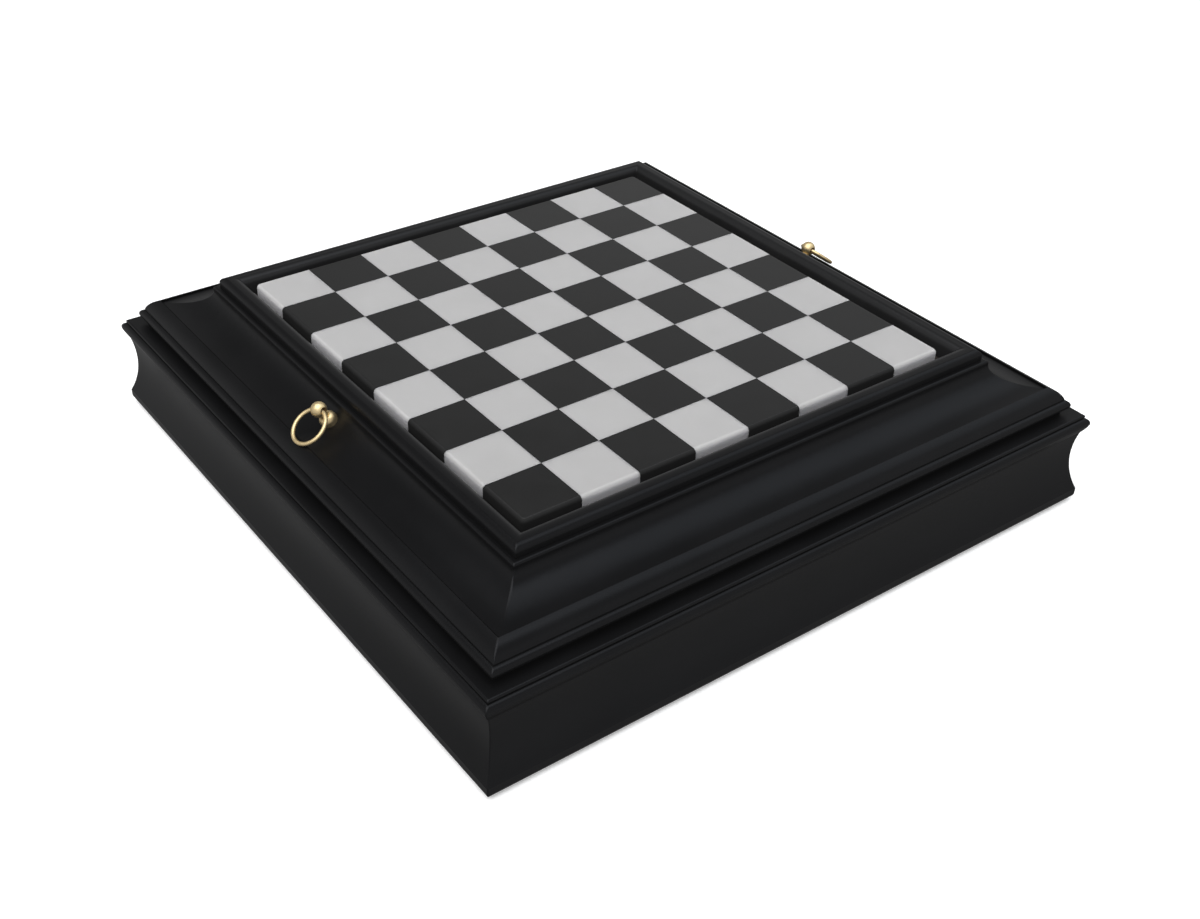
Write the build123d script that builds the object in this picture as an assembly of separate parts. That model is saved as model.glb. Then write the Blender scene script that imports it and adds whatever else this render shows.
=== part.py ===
from build123d import *
import os
from math import atan2, cos, radians, sin

# Marble board: a field of squares with one tile per square, a little to the left in its recess
squares = 8
square_pitch = 35.0
square_joint = 0.2
marble_thickness = 10.0
marble_edge_round = 2.2
marble_corner_round = 2.8
marble_margin = 0.8
board_shift = -1.4

# Lid rail, upper part: crown beside the board, rounded shoulder, then the wide cove
board_gap = 5.0
crown_rise = 1.6
crown_width = 10.6
crown_height = 6.3
crown_round = 3.6
crown_inner_round = 4.0
shoulder_width = 3.0
shoulder_height = 2.2
shoulder_round = 1.4
cove_width = 23.4
cove_height = 12.1

# Lid rail, lower part: quirk groove, ovolo, bead and the undercut foot that stands on the base
quirk_width = 0.9
quirk_depth = 0.9
quirk_step = 1.0
ovolo_width = 7.5
ovolo_height = 6.5
ovolo_bulge = 1.1
ovolo_fillet = 0.9
lid_bead_radius = 3.0
foot_inset = 0.4
foot_height = 2.1
lid_recess_height = 8.5

# Panels that float in grooves of the mitred rails
panel_thickness = 6.0
groove_depth = 7.0
panel_end_gap = 0.5

# Base rail: plinth, scotia waist and moulded lip, measured in from the plinth's face and down from the rim
base_projection = 9.6
base_height = 57.1
base_wall = 25.0
plinth_round = 3.5
plinth_height = 7.0
waist_inset = 5.4
waist_drop = 25.4
neck_inset = 3.6
neck_drop = 11.8
lip_inset = 0.6
lip_round = 3.0
lip_nose = 0.9
lip_hollow = 0.3
rim_bead_radius = 1.1
rim_bead_inset = 4.2
base_panel_lift = 5.0

# Keys that cross the mitres: along the diagonal, across the mitre, and in height
lid_key_length = 20.0
lid_key_width = 14.0
lid_key_thickness = 2.5
lid_key_cover = 1.5
base_key_thickness = 3.0
base_key_width = 14.0
base_key_height = 28.0

# Inside of the base: liner that stands proud to centre the lid, divider and felt
liner_thickness = 5.0
liner_upstand = 6.0
liner_ease = 1.5
lid_clearance = 0.5
divider_thickness = 6.0
divider_slot_depth = 2.0
divider_clearance = 0.1
felt_thickness = 1.5
felt_gap = 0.5

# Felt feet under the base
foot_pad_diameter = 25.0
foot_pad_thickness = 1.5
foot_pad_inset = 22.0

# Brass ring pulls: rosette, screwed post with a ball head, and a ring through the drilled ball
pull_tilt = 58.0
left_pull_turn = 18.0
left_pull_shift = 6.0
rosette_diameter = 9.4
rosette_top_diameter = 6.0
rosette_height = 5.2
rosette_edge = 1.4
rosette_bulge = 0.7
seat_clearance = 0.2
shank_diameter = 3.5
shank_clearance = 0.05
shank_cover = 1.5
neck_diameter = 5.0
ball_height = 10.9
ball_diameter = 8.6
ring_diameter = 20.4
ring_wire = 2.2
ring_hole_play = 0.15
ring_rest_gap = 0.3
swing_tolerance = 0.02

# Straight runs shorter than this are left out where two curves meet
meeting_tolerance = 0.001

# Plan sizes, each a distance from the middle of the box
board_half = squares * square_pitch / 2
crown_in = board_half + board_gap
crown_out = crown_in + crown_width
cove_in = crown_out + shoulder_width
cove_out = cove_in + cove_width
ovolo_in = cove_out + quirk_width
bead_centre = ovolo_in + ovolo_width
lid_half = bead_centre + lid_bead_radius
foot_out = bead_centre - foot_inset
base_half = lid_half + base_projection
base_in = base_half - base_wall
foot_in = base_in + lid_clearance
liner_in = base_in - liner_thickness

# Levels of the base, upwards from the surface that the box stands on
base_bottom = foot_pad_thickness
base_panel_bottom = base_bottom + base_panel_lift
base_panel_top = base_panel_bottom + panel_thickness
rim = base_bottom + base_height
liner_top = rim + liner_upstand
lip_top = rim - 2 * rim_bead_radius
nose_top = lip_top - lip_round
nose_bottom = nose_top - lip_nose
neck_level = rim - neck_drop
waist_level = rim - waist_drop

# Levels of the lid, which stands on the rim of the base
recess_top = rim + lid_recess_height
bead_bottom = rim + foot_height
bead_level = bead_bottom + lid_bead_radius
bead_top = bead_level + lid_bead_radius
ovolo_bottom = bead_top + ovolo_fillet
crest = ovolo_bottom + ovolo_height
cove_bottom = crest - quirk_step
cove_top = cove_bottom + cove_height
shoulder_top = cove_top + shoulder_height
lid_top = shoulder_top + crown_height
marble_top = lid_top - crown_rise
lid_panel_top = marble_top - marble_thickness
lid_panel_bottom = lid_panel_top - panel_thickness

# The pull stands square to the cove, at the point where the cove's normal has the pull's tilt
pull_angle = radians(pull_tilt)
cove_angle = atan2(cove_height * sin(pull_angle), cove_width * cos(pull_angle))
pull_out = cove_out - cove_width * cos(cove_angle)
pull_level = cove_top - cove_height * sin(cove_angle)
pull_turns = {"left": left_pull_turn, "right": 0}
pull_shifts = {"left": left_pull_shift, "right": 0}

# The shank goes as deep as it can with enough wood left under its tip
pilot_radius = shank_diameter / 2 + shank_clearance
shank_depth = pull_level - recess_top - shank_cover - pilot_radius * cos(pull_angle)
shank_length = shank_depth / sin(pull_angle)

# Turns about the vertical axis that carry the right-hand piece to each side
sides = {"right": 0, "back": 90, "left": 180, "front": 270}


def section(stretches):
    """Face on the XZ plane, bounded by points and curves in order, with straight runs between them."""
    edges = []
    ends = []
    for stretch in stretches:
        if isinstance(stretch, tuple):
            ends.append((Vector(*stretch), Vector(*stretch)))
        else:
            edges.append(stretch)
            ends.append((stretch @ 0, stretch @ 1))
    for (_, leave), (arrive, _) in zip(ends, ends[1:] + ends[:1]):
        if (arrive - leave).length > meeting_tolerance:
            edges.append(Line(leave, arrive))
    return Plane.XZ * make_face(edges)


def slab(half_x, half_y, bottom, top):
    """Plate about the vertical axis, from one level to another."""
    plate = Box(2 * half_x, 2 * half_y, top - bottom)
    return Pos(0, 0, (bottom + top) / 2) * plate


def mitred(face, reach):
    """Right-hand rail with the given section, cut at 45 degrees at both ends."""
    rail = extrude(face, amount=reach, both=True)
    wedge = make_face(Polyline((0, 0), (reach, -reach), (reach, reach), close=True))
    return rail & extrude(wedge, amount=reach)


def lid_section():
    """Moulded section of a lid rail, from its inner lip over the crown and out to the foot."""
    crown_inner = (crown_in + crown_inner_round, lid_top - crown_inner_round)
    crown_outer = (crown_out - crown_round, lid_top - crown_round)
    shoulder = (cove_in - shoulder_round, shoulder_top - shoulder_round)
    return section([
        (foot_in, rim),
        (foot_in, recess_top),
        (crown_in, recess_top),
        (crown_in, lid_panel_bottom),
        (crown_in + groove_depth, lid_panel_bottom),
        (crown_in + groove_depth, lid_panel_top),
        (crown_in, lid_panel_top),
        CenterArc(crown_inner, crown_inner_round, 180, -90),
        CenterArc(crown_outer, crown_round, 90, -90),
        (crown_out, shoulder_top),
        CenterArc(shoulder, shoulder_round, 90, -90),
        EllipticalCenterArc((cove_out, cove_top), cove_width, cove_height, 180, arc_size=90),
        (cove_out, cove_bottom - quirk_depth),
        (ovolo_in, cove_bottom - quirk_depth),
        SagittaArc((ovolo_in, crest), (bead_centre, ovolo_bottom), ovolo_bulge),
        CenterArc((bead_centre, bead_level), lid_bead_radius, 90, -180),
        (foot_out, bead_bottom),
        (foot_out, rim),
    ])


def base_section():
    """Moulded section of a base rail, with the groove for the bottom panel."""
    plinth = (base_half - plinth_round, base_bottom + plinth_round)
    plinth_top = (base_half, base_bottom + plinth_height)
    waist = (base_half - waist_inset, waist_level)
    neck = (base_half - neck_inset, neck_level)
    lip = base_half - lip_inset
    return section([
        (base_in, base_bottom),
        CenterArc(plinth, plinth_round, -90, 90),
        ThreePointArc(plinth_top, waist, neck),
        SagittaArc(neck, (lip, nose_bottom), -lip_hollow),
        CenterArc((lip - lip_round, nose_top), lip_round, 0, 90),
        CenterArc((base_half - rim_bead_inset, rim - rim_bead_radius), rim_bead_radius, -90, 180),
        (base_in, rim),
        (base_in, base_panel_top),
        (base_in + groove_depth, base_panel_top),
        (base_in + groove_depth, base_panel_bottom),
        (base_in, base_panel_bottom),
    ])


def liner_section():
    """Thin liner on the inside of a base rail, eased along its top outer edge."""
    return section([
        (liner_in, base_panel_top),
        (base_in, base_panel_top),
        (base_in, liner_top - liner_ease),
        (base_in - liner_ease, liner_top),
        (liner_in, liner_top),
    ])


def corner_keys(centre, length, width, bottom, top):
    """Four keys across the mitres, each on the diagonal of a corner."""
    key = Pos(centre, centre, (bottom + top) / 2) * Rot(0, 0, 45) * Box(length, width, top - bottom)
    return [Rot(0, 0, turn) * key for turn in sides.values()]


def pull_place(side):
    """Frame of a pull: Z out of the cove along the post, X along the hole for the ring."""
    axis = (cos(pull_angle), 0, sin(pull_angle))
    seat = Plane((pull_out, 0, pull_level), x_dir=(0, 1, 0), z_dir=axis)
    middle = Rot(0, 0, sides[side]) * seat.location
    return Pos(0, pull_shifts[side], 0) * middle * Rot(0, 0, pull_turns[side])


def pull_rosette():
    """Domed brass collar on the wood, bored for the post's shank."""
    edge = (rosette_diameter / 2, rosette_edge)
    top = (rosette_top_diameter / 2, rosette_height)
    profile = section([
        (pilot_radius, 0),
        (rosette_diameter / 2, 0),
        SagittaArc(edge, top, -rosette_bulge),
        (pilot_radius, rosette_height),
    ])
    return revolve(profile, Axis.Z)


def pull_post():
    """Turned brass post: shank, short neck and a ball drilled wide enough for the ring's curve."""
    shank = Pos(0, 0, (rosette_height - shank_length) / 2) * Cylinder(
        shank_diameter / 2, rosette_height + shank_length)
    neck = Pos(0, 0, (rosette_height + ball_height) / 2) * Cylinder(
        neck_diameter / 2, ball_height - rosette_height)
    ball = Pos(0, 0, ball_height) * Sphere(ball_diameter / 2)
    reach = ring_diameter / 2 + ring_hole_play
    inside = (ring_diameter - ring_wire) / 2
    hole_radius = (reach ** 2 - inside ** 2 + (ball_diameter / 2) ** 2) / (2 * reach)
    hole = Pos(0, 0, ball_height) * Rot(0, 90, 0) * Cylinder(hole_radius, ball_diameter)
    return shank + (neck + ball - hole)


def pull_ring(side, swing):
    """Closed ring through the ball, swung down by an angle from the line of the post."""
    upright = Pos(0, 0, ring_diameter / 2) * Rot(90, 0, 0) * Torus(ring_diameter / 2, ring_wire / 2)
    hinge = pull_place(side) * Pos(0, 0, ball_height)
    return hinge * Rot(swing, 0, 0) * upright


def resting_ring(side, rail):
    """Ring lowered until it all but touches the rail."""
    clear = 0
    sunk = 180
    while sunk - clear > swing_tolerance:
        swing = (clear + sunk) / 2
        if pull_ring(side, swing).distance_to(rail) > ring_rest_gap:
            clear = swing
        else:
            sunk = swing
    return pull_ring(side, clear)


def pull_bore():
    """Flat seat for the rosette and pilot hole for the shank, cut into a lid rail."""
    seat_radius = rosette_diameter / 2 + seat_clearance
    seat = Pos(0, 0, rosette_height / 2) * Cylinder(seat_radius, rosette_height)
    pilot = Pos(0, 0, -shank_length / 2) * Cylinder(pilot_radius, shank_length)
    return seat + pilot


def marble_squares():
    """Light and dark tiles, cut from one slab with eased edges and corners."""
    field = slab(board_half - marble_margin, board_half - marble_margin, lid_panel_top, marble_top)
    field = Pos(board_shift, 0, 0) * field
    field = fillet(field.edges().filter_by(Axis.Z), marble_corner_round)
    field = fillet(field.faces().sort_by(Axis.Z)[-1].edges(), marble_edge_round)
    tile = square_pitch - square_joint
    first = square_pitch / 2 - board_half
    light = []
    dark = []
    for column in range(squares):
        for row in range(squares):
            x = first + column * square_pitch + board_shift
            y = first + row * square_pitch
            cell = Pos(x, y, lid_panel_top + marble_thickness / 2) * Box(tile, tile, marble_thickness)
            shade = light if (column + row) % 2 else dark
            shade.append((field & cell).solid())
    return light, dark


parts = {}

# Lid: moulded rails around a panel that carries the marble
lid_key_bottom = recess_top + lid_key_cover
lid_keys = corner_keys((crown_out + cove_out) / 2, lid_key_length, lid_key_width,
                       lid_key_bottom, lid_key_bottom + lid_key_thickness)
lid_rail = mitred(lid_section(), base_half)
for side, turn in sides.items():
    rail = Rot(0, 0, turn) * lid_rail - lid_keys
    if side in pull_turns:
        rail = rail - pull_place(side) * pull_bore()
    parts[f"lid_{side}_rail"] = rail.solid()
parts["lid_corner_keys"] = Compound(children=[key.solid() for key in lid_keys])
lid_panel_half = crown_in + groove_depth - panel_end_gap
parts["board_panel"] = slab(lid_panel_half, lid_panel_half, lid_panel_bottom, lid_panel_top)
light_squares, dark_squares = marble_squares()
parts["light_squares"] = Compound(children=light_squares)
parts["dark_squares"] = Compound(children=dark_squares)

# Ring pulls on the left and right of the lid
for side in pull_turns:
    parts[f"{side}_pull_rosette"] = pull_place(side) * pull_rosette()
    parts[f"{side}_pull_post"] = pull_place(side) * pull_post()
    parts[f"{side}_pull_ring"] = resting_ring(side, parts[f"lid_{side}_rail"])

# Base: moulded rails around the bottom panel
base_keys = corner_keys((base_in + base_half - waist_inset) / 2, base_key_thickness, base_key_width,
                        waist_level - base_key_height / 2, waist_level + base_key_height / 2)
base_rail = mitred(base_section(), base_half)
for side, turn in sides.items():
    parts[f"base_{side}_rail"] = (Rot(0, 0, turn) * base_rail - base_keys).solid()
parts["base_corner_keys"] = Compound(children=[key.solid() for key in base_keys])
base_panel_half = base_in + groove_depth - panel_end_gap
parts["base_panel"] = slab(base_panel_half, base_panel_half, base_panel_bottom, base_panel_top)

# Liner, divider and felt inside the base
liner = mitred(liner_section(), base_half)
slot_half = divider_thickness / 2 + divider_clearance
divider_half = liner_in + divider_slot_depth
slots = slab(slot_half, divider_half + divider_clearance, base_panel_top, liner_top)
for side, turn in sides.items():
    strip = Rot(0, 0, turn) * liner
    if side in ("front", "back"):
        strip = strip - slots
    parts[f"{side}_liner"] = strip.solid()
parts["divider"] = slab(divider_thickness / 2, divider_half, base_panel_top, rim)
felt_width = liner_in - divider_thickness / 2 - 2 * felt_gap
felt_length = 2 * (liner_in - felt_gap)
felt = Box(felt_width, felt_length, felt_thickness)
felt_middle = (liner_in + divider_thickness / 2) / 2
felt_level = base_panel_top + felt_thickness / 2
parts["left_felt"] = Pos(-felt_middle, 0, felt_level) * felt
parts["right_felt"] = Pos(felt_middle, 0, felt_level) * felt

# Felt feet in the corners of the underside
pad_place = base_half - foot_pad_inset
pad = Cylinder(foot_pad_diameter / 2, foot_pad_thickness)
pads = [Pos(x, y, foot_pad_thickness / 2) * pad
        for x in (-pad_place, pad_place) for y in (-pad_place, pad_place)]
parts["foot_pads"] = Compound(children=[one.solid() for one in pads])

os.makedirs("parts", exist_ok=True)
for name, part in parts.items():
    export_step(part, f"parts/{name}.step")
for side in pull_turns:
    hinge = pull_place(side) * Pos(0, 0, ball_height)
    print(side, "ring: hinge", tuple(hinge.position), "axis", tuple(Plane(hinge).x_dir))
print(f"base {2 * base_half:.1f} wide, lid {2 * lid_half:.1f} wide, {lid_top:.1f} high")
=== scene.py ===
from math import cos, pi, radians, sin, sqrt

import bmesh
import bpy
from mathutils import Euler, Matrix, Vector, noise


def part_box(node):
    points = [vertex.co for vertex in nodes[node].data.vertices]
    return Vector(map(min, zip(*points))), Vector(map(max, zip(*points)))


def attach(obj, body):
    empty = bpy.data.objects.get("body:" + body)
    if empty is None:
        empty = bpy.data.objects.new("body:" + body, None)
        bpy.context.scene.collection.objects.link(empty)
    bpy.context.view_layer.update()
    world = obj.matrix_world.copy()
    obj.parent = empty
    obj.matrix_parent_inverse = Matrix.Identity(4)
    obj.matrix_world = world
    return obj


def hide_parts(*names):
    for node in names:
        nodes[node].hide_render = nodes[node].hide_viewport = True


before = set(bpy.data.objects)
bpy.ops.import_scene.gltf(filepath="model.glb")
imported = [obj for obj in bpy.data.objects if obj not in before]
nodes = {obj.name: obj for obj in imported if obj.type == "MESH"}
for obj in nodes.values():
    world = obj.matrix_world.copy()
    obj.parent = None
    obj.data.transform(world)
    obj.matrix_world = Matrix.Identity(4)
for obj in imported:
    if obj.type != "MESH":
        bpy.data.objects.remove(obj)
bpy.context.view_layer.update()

# Half the recess that the board lies in, up to the inner faces of the lid's rails
recess_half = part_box("lid_right_rail")[0].x

# Camera: its place measured from the middle of the board's top, then how it is turned
camera_offset = Vector((-0.4488, -0.6008, 0.4218))
camera_pitch = radians(55.192)
camera_lean = radians(-1.433)
camera_heading = radians(-36.464)
camera_lens = 45.13
sensor_width = 36.0

# Studio: a large soft light overhead, a cool panel high on the right and a faint one behind
key_size = 3.9
key_place = Vector((-1.0, -0.3, 3.0))
key_power = 148.0
right_panel_size = 2.6
right_panel_place = Vector((1.8, -0.5, 2.8))
right_panel_power = 25.0
back_panel_size = 1.4
back_panel_place = Vector((1.7, 2.0, 0.6))
back_panel_power = 1.25
plain_white = (1.0, 1.0, 1.0)
cool_white = (0.86, 0.93, 1.0)

# Brightness of the studio's surroundings, from straight down over the horizon to overhead, on each side
surround_heights = (0.0, 0.3, 0.5, 0.69, 0.85, 1.0)
level_below = 0.21
level_overhead = 0.09
surround_levels = {
    "front": (0.78, 0.70, 0.90, 0.24),
    "right": (0.16, 0.31, 0.70, 0.19),
    "back": (0.35, 0.51, 0.36, 0.08),
    "left": (0.33, 0.73, 0.70, 0.13),
}
side_directions = {"front": (0.0, -1.0), "right": (1.0, 0.0), "back": (0.0, 1.0), "left": (-1.0, 0.0)}

# Faint light that the lens spreads over the whole picture
veil = 0.0025

# Floor
floor_half = 6.0
floor_cells = 8
floor_mottle = dict(scale=3.0, detail=3.0)
floor_colours = [(0.0, (0.90, 0.90, 0.90)), (1.0, (0.93, 0.93, 0.93))]
floor_glow = 0.3
floor_roughness = 0.9

# Wood: the pores are drawn out along the grain, where their pattern has a smaller scale
grain_scale = 0.04
along_x = (grain_scale, 1.0, 1.0)
along_y = (1.0, grain_scale, 1.0)

# Lacquer outside: fine pores, a broad unevenness, and arrises eased where two rails meet at a mitre
lacquer_pores = dict(scale=900.0, detail=3.0)
lacquer_pore_relief = dict(depth=0.00002, strength=0.35)
lacquer_clouds = dict(scale=22.0, detail=3.0)
lacquer_colours = [(0.3, (0.0014, 0.0014, 0.0016)), (0.7, (0.0024, 0.0024, 0.0027))]
lacquer_roughness = dict(low=0.30, high=0.38)
lacquer_specular = 0.15
lacquer_specular_tint = (0.92, 0.94, 1.0, 1.0)
arris_ease = 0.0006

# Painted light in the recess round the board: its grey, and how far it thins out over the crown
no_colour = (0.0, 0.0, 0.0)
recess_light_grey = (0.013, 0.013, 0.013)
recess_light_reach = 0.006

# Stained wood inside
stain_pores = dict(scale=700.0, detail=5.0)
stain_pore_relief = dict(depth=0.00006, strength=0.5)
stain_figure = dict(scale=90.0, detail=4.0, rough=0.6, twist=0.6)
stain_colours = [(0.25, (0.010, 0.008, 0.007)), (0.75, (0.024, 0.018, 0.015))]
stain_roughness = dict(low=0.42, high=0.6)

# Both marbles: how much rougher the sides are than the face, and the upward share where that ends
honed_roughness = 0.45
honed_share = 0.9

# White marble: light passes under its surface, and its sides get painted light, paler up to an upward
# share
white_clouds = dict(scale=38.0, detail=3.0, rough=0.5, twist=0.2)
white_grain = dict(scale=1600.0, detail=2.0)
white_grain_relief = dict(depth=0.00001, strength=0.2)
white_colours = [(0.2, (0.390, 0.385, 0.384)), (0.8, (0.416, 0.411, 0.410))]
white_roughness = dict(low=0.27, high=0.34)
white_scatter_radius = (1.0, 1.0, 0.95)
white_scatter_scale = 0.008
white_side_painted_light = (0.10, 0.10, 0.12)
white_painted_light_share = 0.6

# Dark marble
dark_clouds = dict(scale=55.0, detail=6.0, rough=0.6, twist=0.5)
dark_fleck = dict(scale=1100.0, detail=2.0)
dark_fleck_relief = dict(depth=0.00001, strength=0.25)
dark_colours = [(0.3, (0.0010, 0.0010, 0.0010)), (0.7, (0.0026, 0.0026, 0.0026))]
dark_roughness = dict(low=0.32, high=0.42)
dark_specular = 0.4

# Brass
brass_tarnish = dict(scale=420.0, detail=4.0)
brass_wipe = dict(scale=2600.0, detail=2.0)
brass_wipe_stretch = (1.0, 1.0, 6.0)
brass_wipe_relief = dict(depth=0.000004, strength=0.3)
brass_colours = [(0.3, (0.68, 0.53, 0.29)), (0.7, (0.78, 0.63, 0.37))]
brass_roughness = dict(low=0.42, high=0.52)

# Felt as a material
felt_fibres = dict(scale=2400.0, detail=6.0, rough=0.7, twist=1.2)
felt_fibre_relief = dict(depth=0.0003, strength=0.7)
felt_blotches = dict(scale=60.0, detail=3.0)
felt_blotch_gain = dict(low=0.8, high=1.2)
green_felt_colours = [(0.3, (0.004, 0.022, 0.012)), (0.7, (0.012, 0.055, 0.030))]
black_felt_colours = [(0.3, (0.006, 0.006, 0.006)), (0.7, (0.020, 0.020, 0.021))]
felt_roughness = 0.95
felt_sheen = 0.25
felt_sheen_roughness = 0.5

# Felt sheets: grid, uneven top, and rounded rim, where faces meet at more than an angle in radians
unit_half = 0.5
felt_cell = 0.006
felt_wander = 0.00012
felt_round = 0.0005
felt_round_steps = 3
rim_angle = 1.0

# Felt pads: the rounding of their edges, and how finely it and their outline are divided
pad_round = 0.0006
pad_rings = 6
pad_sides = 72


def new_material(name):
    """Node material with a principled shader, returned with its tree and that shader."""
    material = bpy.data.materials.new(name)
    material.use_nodes = True
    tree = material.node_tree
    shader = tree.nodes["Principled BSDF"]
    return material, tree, shader


def add(tree, kind, **values):
    """New shader node, with the named inputs set to plain values or linked to sockets."""
    node = tree.nodes.new(kind)
    for name, value in values.items():
        socket = node.inputs[name.replace("_", " ")]
        if isinstance(value, bpy.types.NodeSocket):
            tree.links.new(value, socket)
        else:
            socket.default_value = value
    return node


def link(tree, shader, **sockets):
    """Joins sockets to the shader's inputs."""
    for name, socket in sockets.items():
        tree.links.new(socket, shader.inputs[name.replace("_", " ")])


def hold(shader, **constants):
    """Sets inputs of the shader to constants."""
    for name, value in constants.items():
        shader.inputs[name.replace("_", " ")].default_value = value


def place(tree, stretch=(1.0, 1.0, 1.0)):
    """Position on the object in metres, stretched along its axes."""
    where = tree.nodes.new("ShaderNodeTexCoord")
    mapping = add(tree, "ShaderNodeMapping", Vector=where.outputs["Object"], Scale=stretch)
    return mapping.outputs["Vector"]


def clouds(tree, where, scale, detail, rough=0.55, twist=0.0):
    """Noise between zero and one."""
    node = add(tree, "ShaderNodeTexNoise", Vector=where, Scale=scale, Detail=detail,
               Roughness=rough, Distortion=twist)
    return node.outputs["Fac"]


def spread(tree, value, low, high, start=0.0, end=1.0):
    """Value carried from one range to another, and held at its ends."""
    node = add(tree, "ShaderNodeMapRange", Value=value, From_Min=start, From_Max=end,
               To_Min=low, To_Max=high)
    return node.outputs["Result"]


def tint(tree, value, stops):
    """Colour read from a ramp of places and colours."""
    node = add(tree, "ShaderNodeValToRGB", Fac=value)
    ramp = node.color_ramp
    for position, _ in stops[1:-1]:
        ramp.elements.new(position)
    for element, (position, colour) in zip(ramp.elements, stops):
        element.position = position
        element.color = (*colour, 1.0)
    return node.outputs["Color"]


def relief(tree, height, depth, strength):
    """Surface normal of a height between zero and one that is this many metres deep."""
    node = add(tree, "ShaderNodeBump", Height=height, Distance=depth, Strength=strength)
    return node.outputs["Normal"]


def maths(tree, operation, first, second=0.0):
    """Result of a sum on two numbers or sockets."""
    node = tree.nodes.new("ShaderNodeMath")
    node.operation = operation
    for socket, value in zip(node.inputs, (first, second)):
        if isinstance(value, bpy.types.NodeSocket):
            tree.links.new(value, socket)
        else:
            socket.default_value = value
    return node.outputs["Value"]


def vector_maths(tree, operation, first, second=None, scale=None):
    """Node for a sum on vectors."""
    node = tree.nodes.new("ShaderNodeVectorMath")
    node.operation = operation
    tree.links.new(first, node.inputs[0])
    if second is not None:
        tree.links.new(second, node.inputs[1])
    if scale is not None:
        tree.links.new(scale, node.inputs["Scale"])
    return node


def eased_mitres(tree, normal):
    """Normal that turns smoothly across the diagonals, as on a corner that has been rubbed down."""
    axes = add(tree, "ShaderNodeSeparateXYZ", Vector=place(tree))
    x, y = axes.outputs["X"], axes.outputs["Y"]
    across = maths(tree, "SUBTRACT", maths(tree, "ABSOLUTE", x), maths(tree, "ABSOLUTE", y))
    near = spread(tree, maths(tree, "ABSOLUTE", across), 1.0, 0.0, 0.0, arris_ease * sqrt(2))
    diagonal = add(tree, "ShaderNodeCombineXYZ", X=maths(tree, "SIGN", x),
                   Y=maths(tree, "MULTIPLY", maths(tree, "SIGN", y), -1.0))
    unit = vector_maths(tree, "NORMALIZE", diagonal.outputs["Vector"]).outputs["Vector"]
    lean = vector_maths(tree, "DOT_PRODUCT", normal, unit).outputs["Value"]
    part = vector_maths(tree, "SCALE", unit, scale=maths(tree, "MULTIPLY", lean, near)).outputs["Vector"]
    turned = vector_maths(tree, "SUBTRACT", normal, part).outputs["Vector"]
    return vector_maths(tree, "NORMALIZE", turned).outputs["Vector"]


def painted_recess_light(tree):
    """Painted light: grey added most in the recess round the board, thinning out over the crown."""
    axes = add(tree, "ShaderNodeSeparateXYZ", Vector=place(tree))
    x, y = axes.outputs["X"], axes.outputs["Y"]
    out = maths(tree, "MAXIMUM", maths(tree, "ABSOLUTE", x), maths(tree, "ABSOLUTE", y))
    share = spread(tree, out, 1.0, 0.0, recess_half, recess_half + recess_light_reach)
    return tint(tree, share, [(0.0, no_colour), (1.0, recess_light_grey)])


def black_lacquer(name, grain):
    """Near-black satin lacquer over wood whose pores run along the given axis, with painted light in the
    recess round the board.
    """
    material, tree, shader = new_material(name)
    fine = clouds(tree, place(tree, grain), **lacquer_pores)
    broad = clouds(tree, place(tree), **lacquer_clouds)
    lacquer_tone = tint(tree, broad, lacquer_colours)
    # Painted light: grey added to the lacquer in the recess round the board, thinning out over the crown
    with_painted_light = vector_maths(tree, "ADD", lacquer_tone, painted_recess_light(tree)).outputs["Vector"]
    pores = relief(tree, fine, **lacquer_pore_relief)
    link(tree, shader, Base_Color=with_painted_light, Roughness=spread(tree, broad, **lacquer_roughness))
    link(tree, shader, Normal=eased_mitres(tree, pores))
    hold(shader, Specular_IOR_Level=lacquer_specular, Specular_Tint=lacquer_specular_tint)
    return material


def inner_wood(name, grain):
    """Dark stained wood with open grain, for the inside of the box."""
    material, tree, shader = new_material(name)
    fine = clouds(tree, place(tree, grain), **stain_pores)
    figure = clouds(tree, place(tree, grain), **stain_figure)
    link(tree, shader, Base_Color=tint(tree, figure, stain_colours))
    link(tree, shader, Roughness=spread(tree, fine, **stain_roughness))
    link(tree, shader, Normal=relief(tree, fine, **stain_pore_relief))
    return material


def upward(tree):
    """Upward share of the surface's own normal: one on a level face, zero on an upright side."""
    surface = tree.nodes.new("ShaderNodeNewGeometry")
    axes = add(tree, "ShaderNodeSeparateXYZ", Vector=surface.outputs["Normal"])
    return axes.outputs["Z"]


def honed(tree, polish):
    """Roughness of a polished face that gets rougher over the rounded edge to the sides."""
    honing = spread(tree, upward(tree), honed_roughness, 0.0, honed_share, 1.0)
    return maths(tree, "ADD", polish, honing)


def light_marble():
    """White marble with faint grey clouds, a soft polish, and honed sides made paler with painted light.
    """
    material, tree, shader = new_material("light_marble_polish")
    cloud = clouds(tree, place(tree), **white_clouds)
    grain = clouds(tree, place(tree), **white_grain)
    # Painted light: the sides and rounded edges are paler than the face, up to an upward share
    side_light = tint(tree, upward(tree), [(0.0, white_side_painted_light), (white_painted_light_share, no_colour)])
    colour = vector_maths(tree, "ADD", tint(tree, cloud, white_colours), side_light).outputs["Vector"]
    link(tree, shader, Base_Color=colour)
    link(tree, shader, Roughness=honed(tree, spread(tree, cloud, **white_roughness)))
    link(tree, shader, Normal=relief(tree, grain, **white_grain_relief))
    hold(shader, Subsurface_Weight=1.0, Subsurface_Radius=white_scatter_radius)
    hold(shader, Subsurface_Scale=white_scatter_scale)
    return material


def dark_marble():
    """Charcoal marble with a fine grey fleck, a soft polish and honed sides."""
    material, tree, shader = new_material("dark_marble_polish")
    cloud = clouds(tree, place(tree), **dark_clouds)
    fleck = clouds(tree, place(tree), **dark_fleck)
    link(tree, shader, Base_Color=tint(tree, cloud, dark_colours))
    link(tree, shader, Roughness=honed(tree, spread(tree, cloud, **dark_roughness)))
    link(tree, shader, Normal=relief(tree, fleck, **dark_fleck_relief))
    hold(shader, Specular_IOR_Level=dark_specular)
    return material


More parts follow.
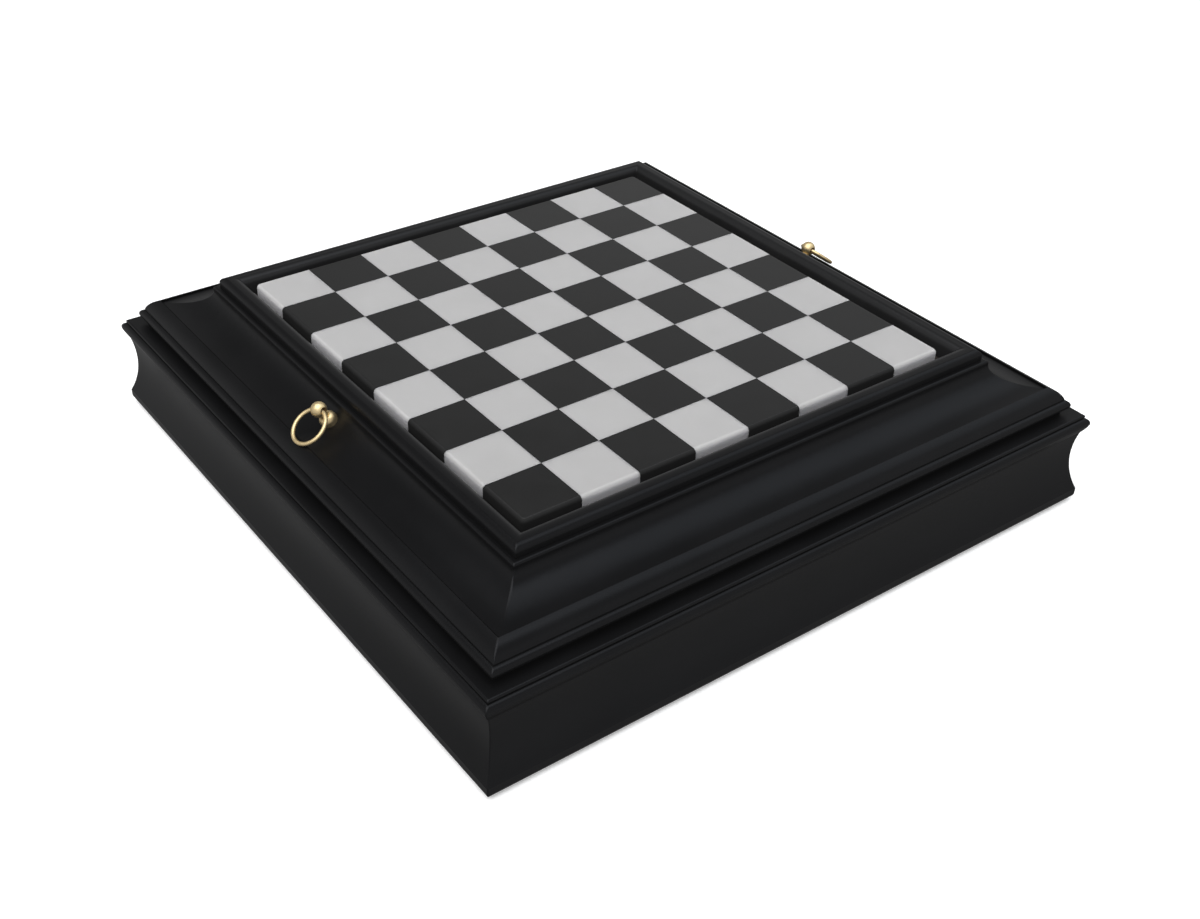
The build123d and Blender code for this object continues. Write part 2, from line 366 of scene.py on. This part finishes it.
def polished_brass():
    """Pale gold brass with a fine wiped sheen and slight tarnish."""
    material, tree, shader = new_material("polished_brass")
    tarnish = clouds(tree, place(tree), **brass_tarnish)
    wipe = clouds(tree, place(tree, brass_wipe_stretch), **brass_wipe)
    link(tree, shader, Base_Color=tint(tree, tarnish, brass_colours))
    link(tree, shader, Roughness=spread(tree, tarnish, **brass_roughness))
    link(tree, shader, Normal=relief(tree, wipe, **brass_wipe_relief))
    hold(shader, Metallic=1.0)
    return material


def felt(name, colours):
    """Pressed felt: matted fibres with a soft sheen."""
    material, tree, shader = new_material(name)
    fibre = clouds(tree, place(tree), **felt_fibres)
    blotch = clouds(tree, place(tree), **felt_blotches)
    mixed = maths(tree, "MULTIPLY", fibre, spread(tree, blotch, **felt_blotch_gain))
    link(tree, shader, Base_Color=tint(tree, mixed, colours))
    link(tree, shader, Normal=relief(tree, fibre, **felt_fibre_relief))
    hold(shader, Roughness=felt_roughness, Sheen_Weight=felt_sheen, Sheen_Roughness=felt_sheen_roughness)
    return material


def floor_white():
    """Pale matt floor with the least trace of mottling."""
    material, tree, shader = new_material("floor_white")
    colour = tint(tree, clouds(tree, place(tree), **floor_mottle), floor_colours)
    link(tree, shader, Base_Color=colour, Emission_Color=colour)
    hold(shader, Emission_Strength=floor_glow, Roughness=floor_roughness)
    return material


def dress(node, material):
    """Gives a solid of the frame its finish."""
    mesh = nodes[node].data
    mesh.materials.clear()
    mesh.materials.append(material)


def new_piece(name, shape, material, body):
    """Object from a finished bmesh, riding on a body of the frame."""
    mesh = bpy.data.meshes.new(name)
    shape.to_mesh(mesh)
    shape.free()
    mesh.shade_smooth()
    piece = bpy.data.objects.new(name, mesh)
    bpy.context.scene.collection.objects.link(piece)
    mesh.materials.append(material)
    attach(piece, body)
    return piece


def felt_sheet(node, material):
    """Sheet of felt with rounded edges and a slightly uneven top, in the place of a node."""
    low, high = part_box(node)
    size = high - low
    columns = round(size.x / felt_cell)
    rows = round(size.y / felt_cell)
    centre = ((low.x + high.x) / 2, (low.y + high.y) / 2, low.z)
    shape = bmesh.new()
    bmesh.ops.create_grid(shape, x_segments=columns, y_segments=rows, size=unit_half)
    bmesh.ops.scale(shape, vec=(size.x, size.y, 1.0), verts=shape.verts)
    bmesh.ops.translate(shape, vec=centre, verts=shape.verts)
    raised = bmesh.ops.extrude_face_region(shape, geom=list(shape.faces))
    top = [item for item in raised["geom"] if isinstance(item, bmesh.types.BMVert)]
    bmesh.ops.translate(shape, vec=(0.0, 0.0, size.z - felt_wander), verts=top)
    sharp = [edge for edge in shape.edges if edge.calc_face_angle(0.0) > rim_angle]
    rim = [edge for edge in sharp if all(vertex.co.z > low.z + felt_round for vertex in edge.verts)]
    for vertex in top:
        vertex.co.z += felt_wander * noise.noise(vertex.co / felt_cell)
    bmesh.ops.bevel(shape, geom=rim, offset=felt_round, segments=felt_round_steps, affect="EDGES")
    bmesh.ops.recalc_face_normals(shape, faces=shape.faces)
    piece = new_piece(node + "_cloth", shape, material, "base")
    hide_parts(node)


def pad_outline(radius, low, high):
    """Reach and level of points up the side of a pad whose edges are rounded."""
    turns = [pi / 2 * step / pad_rings for step in range(pad_rings + 1)]
    edge = [(radius - pad_round * (1 - sin(turn)), pad_round * (1 - cos(turn))) for turn in turns]
    lower = [(reach, low + rise) for reach, rise in edge]
    upper = [(reach, high - rise) for reach, rise in reversed(edge)]
    return lower + upper


def lathe(shape, centre, outline):
    """Adds a closed round body with the given outline to a bmesh."""
    rings = []
    for reach, level in outline:
        ring = []
        for side in range(pad_sides):
            turn = 2 * pi * side / pad_sides
            point = (centre.x + reach * cos(turn), centre.y + reach * sin(turn), level)
            ring.append(shape.verts.new(point))
        rings.append(ring)
    for lower, upper in zip(rings, rings[1:]):
        for side in range(pad_sides):
            following = (side + 1) % pad_sides
            shape.faces.new((lower[side], lower[following], upper[following], upper[side]))
    shape.faces.new(list(reversed(rings[0])))
    shape.faces.new(rings[-1])


def felt_pads(node, material):
    """Four round felt pads with softly rounded edges, in the place of a node."""
    low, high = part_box(node)
    points = [vertex.co for vertex in nodes[node].data.vertices]
    shape = bmesh.new()
    for corner_x in (low.x, high.x):
        for corner_y in (low.y, high.y):
            near = [point for point in points if point.x * corner_x > 0 and point.y * corner_y > 0]
            left = min(point.x for point in near)
            right = max(point.x for point in near)
            front = min(point.y for point in near)
            back = max(point.y for point in near)
            centre = Vector(((left + right) / 2, (front + back) / 2))
            lathe(shape, centre, pad_outline((right - left) / 2, low.z, high.z))
    bmesh.ops.recalc_face_normals(shape, faces=shape.faces)
    piece = new_piece(node + "_cloth", shape, material, "base")
    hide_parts(node)


def make_floor():
    """Pale floor under the box, which glossy surfaces don't mirror."""
    shape = bmesh.new()
    bmesh.ops.create_grid(shape, x_segments=floor_cells, y_segments=floor_cells, size=floor_half)
    mesh = bpy.data.meshes.new("floor")
    shape.to_mesh(mesh)
    shape.free()
    floor = bpy.data.objects.new("floor", mesh)
    bpy.context.scene.collection.objects.link(floor)
    mesh.materials.append(floor_white())
    floor.visible_glossy = False


def area_light(name, position, target, size, power, colour):
    """Square soft light that faces a point."""
    lamp = bpy.data.lights.new(name, "AREA")
    lamp.size = size
    lamp.energy = power
    lamp.color = colour
    light = bpy.data.objects.new(name, lamp)
    light.location = position
    light.rotation_euler = (target - position).to_track_quat("-Z", "Y").to_euler()
    bpy.context.scene.collection.objects.link(light)


def surroundings(tree):
    """Brightness of the world by direction: each side's levels, blended into the next side's."""
    where = tree.nodes.new("ShaderNodeTexCoord")
    axes = add(tree, "ShaderNodeSeparateXYZ", Vector=where.outputs["Generated"])
    x, y = axes.outputs["X"], axes.outputs["Y"]
    height = spread(tree, axes.outputs["Z"], 0.0, 1.0, -1.0, 1.0)
    reach = maths(tree, "ADD", maths(tree, "MULTIPLY", x, x), maths(tree, "MULTIPLY", y, y))
    total = 0.0
    for side, (toward_x, toward_y) in side_directions.items():
        lean_x = maths(tree, "MULTIPLY", x, toward_x)
        lean_y = maths(tree, "MULTIPLY", y, toward_y)
        facing = maths(tree, "MAXIMUM", maths(tree, "ADD", lean_x, lean_y), 0.0)
        share = maths(tree, "DIVIDE", maths(tree, "MULTIPLY", facing, facing), reach)
        levels = (level_below, *surround_levels[side], level_overhead)
        stops = [(stop, (level, level, level)) for stop, level in zip(surround_heights, levels)]
        total = maths(tree, "ADD", total, maths(tree, "MULTIPLY", share, tint(tree, height, stops)))
    return total


def make_lights(target):
    """Soft studio lights that face the board, and the surroundings."""
    area_light("key", key_place, target, key_size, key_power, plain_white)
    area_light("right_panel", right_panel_place, target, right_panel_size, right_panel_power, cool_white)
    area_light("back_panel", back_panel_place, target, back_panel_size, back_panel_power, plain_white)
    world = bpy.data.worlds.new("studio")
    world.use_nodes = True
    tree = world.node_tree
    background = tree.nodes["Background"]
    background.inputs["Color"].default_value = (*plain_white, 1.0)
    tree.links.new(surroundings(tree), background.inputs["Strength"])
    bpy.context.scene.world = world


def make_camera(board_middle):
    """Camera at the place that the photograph was taken from."""
    data = bpy.data.cameras.new("camera")
    data.lens = camera_lens
    data.sensor_width = sensor_width
    data.sensor_fit = "HORIZONTAL"
    camera = bpy.data.objects.new("camera", data)
    camera.location = board_middle + camera_offset
    camera.rotation_euler = Euler((camera_pitch, camera_lean, camera_heading), "XYZ")
    bpy.context.scene.collection.objects.link(camera)
    bpy.context.scene.camera = camera


def make_display():
    """Plain display of colours, with the lens's faint veil."""
    view = bpy.context.scene.view_settings
    view.view_transform = "Standard"
    view.use_curve_mapping = True
    view.curve_mapping.black_level = (-veil, -veil, -veil)
    view.curve_mapping.update()


# Wood: the pores run along each rail
lacquer_x = black_lacquer("black_lacquer_x", along_x)
lacquer_y = black_lacquer("black_lacquer_y", along_y)
stain_x = inner_wood("inner_wood_x", along_x)
stain_y = inner_wood("inner_wood_y", along_y)
for end in ("front", "back"):
    dress(f"lid_{end}_rail", lacquer_x)
    dress(f"base_{end}_rail", lacquer_x)
    dress(f"{end}_liner", stain_x)
for end in ("left", "right"):
    dress(f"lid_{end}_rail", lacquer_y)
    dress(f"base_{end}_rail", lacquer_y)
    dress(f"{end}_liner", stain_y)
for node in ("lid_corner_keys", "base_corner_keys", "board_panel"):
    dress(node, stain_x)
for node in ("base_panel", "divider"):
    dress(node, stain_y)

# Marble board
dress("light_squares", light_marble())
dress("dark_squares", dark_marble())

# Ring pulls
brass = polished_brass()
for end in ("left", "right"):
    for piece in ("rosette", "post", "ring"):
        dress(f"{end}_pull_{piece}", brass)

# Felt inside and under the base
green_felt = felt("green_felt", green_felt_colours)
felt_sheet("left_felt", green_felt)
felt_sheet("right_felt", green_felt)
felt_pads("foot_pads", felt("black_felt", black_felt_colours))

# Studio
board_low, board_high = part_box("light_squares")
middle = (board_low + board_high) / 2
middle.z = board_high.z
make_floor()
make_lights(middle)
make_camera(middle)
make_display()
